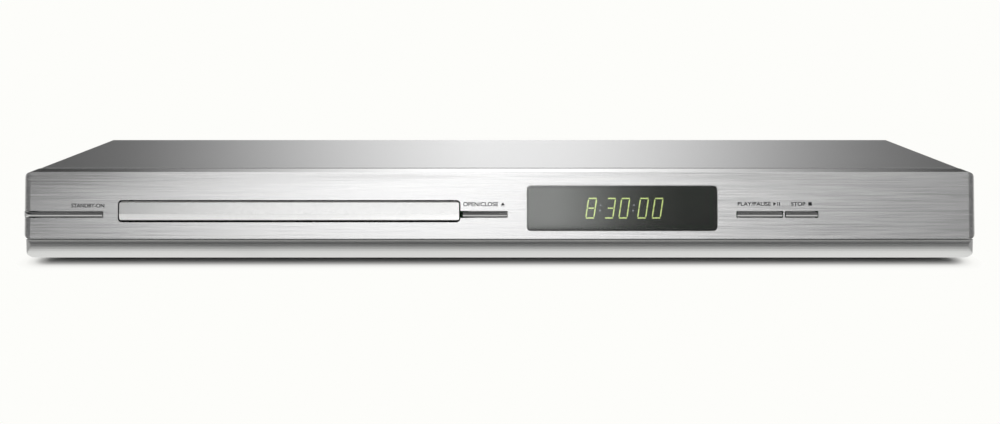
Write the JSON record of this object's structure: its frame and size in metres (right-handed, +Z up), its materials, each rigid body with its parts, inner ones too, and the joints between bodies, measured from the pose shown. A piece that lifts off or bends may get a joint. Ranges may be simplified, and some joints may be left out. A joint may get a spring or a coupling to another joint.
{
  "type": "disc player",
  "caption": "Slim home disc player: leaning brushed front with display window and keys, motorised disc tray, loader, pickup and circuit boards inside a folded steel case.",
  "frame": {"origin": "on the table under the middle of the player's footprint, from the front panel's foremost edge to the tips of the rear jacks", "axes": "+X to the player's right as seen from the front, +Y from its front to its back, +Z up; its front faces -Y"},
  "size_m": [0.435, 0.235, 0.043],
  "materials": {
    "aluminium": "extruded aluminium",
    "black_plastic": "black moulded plastic",
    "brass": "turned brass",
    "bright_steel": "nickel-plated steel",
    "brushed_plate": "horizontally brushed aluminium",
    "brushed_steel": "plain steel",
    "capacitor_sleeve": "shrink sleeve",
    "circuit_board": "glass-fibre circuit board",
    "display_glass": "vacuum fluorescent tube",
    "grey_plastic": "dark grey moulded plastic",
    "ivory_plastic": "natural acetal",
    "jack_plastic": "coloured jack insert",
    "lens_plastic": "moulded lens and holder",
    "magnet": "sintered ferrite",
    "paper_board": "paper-phenolic circuit board",
    "ribbon_film": "polyester ribbon cable",
    "rubber": "matte rubber",
    "silver_paint": "satin silver paint on sheet steel",
    "silver_plastic": "silver painted moulding",
    "smoked_window": "smoked clear acrylic",
    "steel_sheet": "zinc-plated sheet steel",
    "transformer_tape": "taped coil on a ferrite core",
    "wire_sleeve": "PVC sleeve"
  },
  "bodies": {
    "housing": {"chassis_pan": "steel_sheet", "rear_panel": "steel_sheet", "top_cover": "silver_paint", "front_frame": "silver_plastic", "front_plate": "brushed_plate", "lower_trim": "silver_plastic", "display_window": "smoked_window", "front_board": "circuit_board", "display_tube": "display_glass", "tact_switches": "black_plastic", "main_board": "circuit_board", "main_chips": "black_plastic", "chip_heatsink": "aluminium", "power_board": "paper_board", "transformer": "transformer_tape", "power_capacitors": "capacitor_sleeve", "power_heatsink": "aluminium", "mains_inlet": "black_plastic", "inlet_pins": "bright_steel", "jack_block": "black_plastic", "jack_shells": "bright_steel", "jack_inserts": "jack_plastic", "scart_socket": "black_plastic", "feet": "rubber", "screws": "brushed_steel", "ribbons": "ribbon_film", "power_harness": "wire_sleeve", "loader_frame": "black_plastic", "loader_walls": "black_plastic", "loader_rails": "black_plastic", "loader_mounts": "black_plastic", "clamper_bridge": "steel_sheet", "loading_motor": "brushed_steel", "drive_belt": "rubber"},
    "tray": {"disc_tray": "grey_plastic", "tray_door": "silver_plastic"},
    "tray_gear": {"tray_gear": "ivory_plastic"},
    "pulley_gear": {"pulley_gear": "ivory_plastic"},
    "motor_pulley": {"motor_pulley": "ivory_plastic"},
    "cam_slider": {"cam_slider": "ivory_plastic"},
    "pickup_deck": {"traverse_frame": "grey_plastic", "spindle_motor": "brushed_steel", "guide_rods": "bright_steel", "sled_motor": "brushed_steel"},
    "turntable": {"turntable": "black_plastic"},
    "pickup": {"pickup_body": "grey_plastic", "sled_rack": "ivory_plastic"},
    "feed_gear": {"feed_gear": "ivory_plastic"},
    "sled_pinion": {"sled_pinion": "brass"},
    "lens": {"objective_lens": "lens_plastic"},
    "clamper": {"clamper_puck": "ivory_plastic", "clamp_magnet": "magnet"},
    "standby_key": {"standby_key": "silver_plastic", "standby_plunger": "ivory_plastic"},
    "open_key": {"open_key": "silver_plastic", "open_plunger": "ivory_plastic"},
    "play_key": {"play_key": "silver_plastic", "play_plunger": "ivory_plastic"},
    "stop_key": {"stop_key": "silver_plastic", "stop_plunger": "ivory_plastic"}
  },
  "joints": [
    {"name": "tray_slide", "type": "slide", "parent": "housing", "child": "tray", "axis": [0, -1, 0], "range_m": [0, 0.132]},
    {"name": "tray_gear_spin", "type": "hinge", "parent": "housing", "child": "tray_gear", "pos_m": [-0.0582, -0.086, 0.015], "axis": [0, 0, 1], "range_deg": [-760, 0]},
    {"name": "pulley_gear_spin", "type": "hinge", "parent": "housing", "child": "pulley_gear", "pos_m": [-0.0812, -0.086, 0.015], "axis": [0, 0, 1], "range_deg": [0, 2730]},
    {"name": "motor_pulley_spin", "type": "hinge", "parent": "housing", "child": "motor_pulley", "pos_m": [-0.1202, -0.088, 0.02], "axis": [0, 0, 1], "range_deg": [0, 9440]},
    {"name": "deck_tilt", "type": "hinge", "parent": "housing", "child": "pickup_deck", "pos_m": [-0.0962, 0.057, 0.015], "axis": [1, 0, 0], "range_deg": [0, 3]},
    {"name": "cam_shift", "type": "slide", "parent": "housing", "child": "cam_slider", "axis": [-1, 0, 0], "range_m": [0, 0.0141]},
    {"name": "disc_spin", "type": "hinge", "parent": "pickup_deck", "child": "turntable", "pos_m": [-0.0962, -0.0465, 0.0266], "axis": [0, 0, 1], "continuous": true},
    {"name": "sled_travel", "type": "slide", "parent": "pickup_deck", "child": "pickup", "axis": [0, 1, 0], "range_m": [0, 0.035]},
    {"name": "feed_gear_spin", "type": "hinge", "parent": "pickup_deck", "child": "feed_gear", "pos_m": [-0.0581, 0.0075, 0.018], "axis": [0, 0, 1], "range_deg": [-560, 0]},
    {"name": "sled_pinion_spin", "type": "hinge", "parent": "pickup_deck", "child": "sled_pinion", "pos_m": [-0.05622, -0.00314, 0.018], "axis": [0, 0, 1], "range_deg": [0, 1450]},
    {"name": "lens_focus", "type": "slide", "parent": "pickup", "child": "lens", "axis": [0, 0, 1], "range_m": [-0.0004, 0.0005], "stiffness_N_per_m": 30},
    {"name": "clamper_spin", "type": "hinge", "parent": "housing", "child": "clamper", "pos_m": [-0.0962, -0.0465, 0.032], "axis": [0, 0, 1], "continuous": true},
    {"name": "standby_press", "type": "slide", "parent": "housing", "child": "standby_key", "axis": [0, 1, 0], "range_m": [0, 0.0005], "stiffness_N_per_m": 500, "springref_m": -0.001},
    {"name": "open_press", "type": "slide", "parent": "housing", "child": "open_key", "axis": [0, 1, 0], "range_m": [0, 0.0005], "stiffness_N_per_m": 500, "springref_m": -0.001},
    {"name": "play_press", "type": "slide", "parent": "housing", "child": "play_key", "axis": [0, 1, 0], "range_m": [0, 0.0005], "stiffness_N_per_m": 500, "springref_m": -0.001},
    {"name": "stop_press", "type": "slide", "parent": "housing", "child": "stop_key", "axis": [0, 1, 0], "range_m": [0, 0.0005], "stiffness_N_per_m": 500, "springref_m": -0.001}
  ],
  "couplings": [
    {"joint": "tray_gear_spin", "follows": "tray_slide", "rad_per_m": -100},
    {"joint": "pulley_gear_spin", "follows": "tray_slide", "rad_per_m": 360},
    {"joint": "motor_pulley_spin", "follows": "tray_slide", "rad_per_m": 1248},
    {"joint": "cam_shift", "follows": "deck_tilt", "m_per_rad": 0.26738},
    {"joint": "feed_gear_spin", "follows": "sled_travel", "rad_per_m": -277.78},
    {"joint": "sled_pinion_spin", "follows": "sled_travel", "rad_per_m": 722.22}
  ]
}
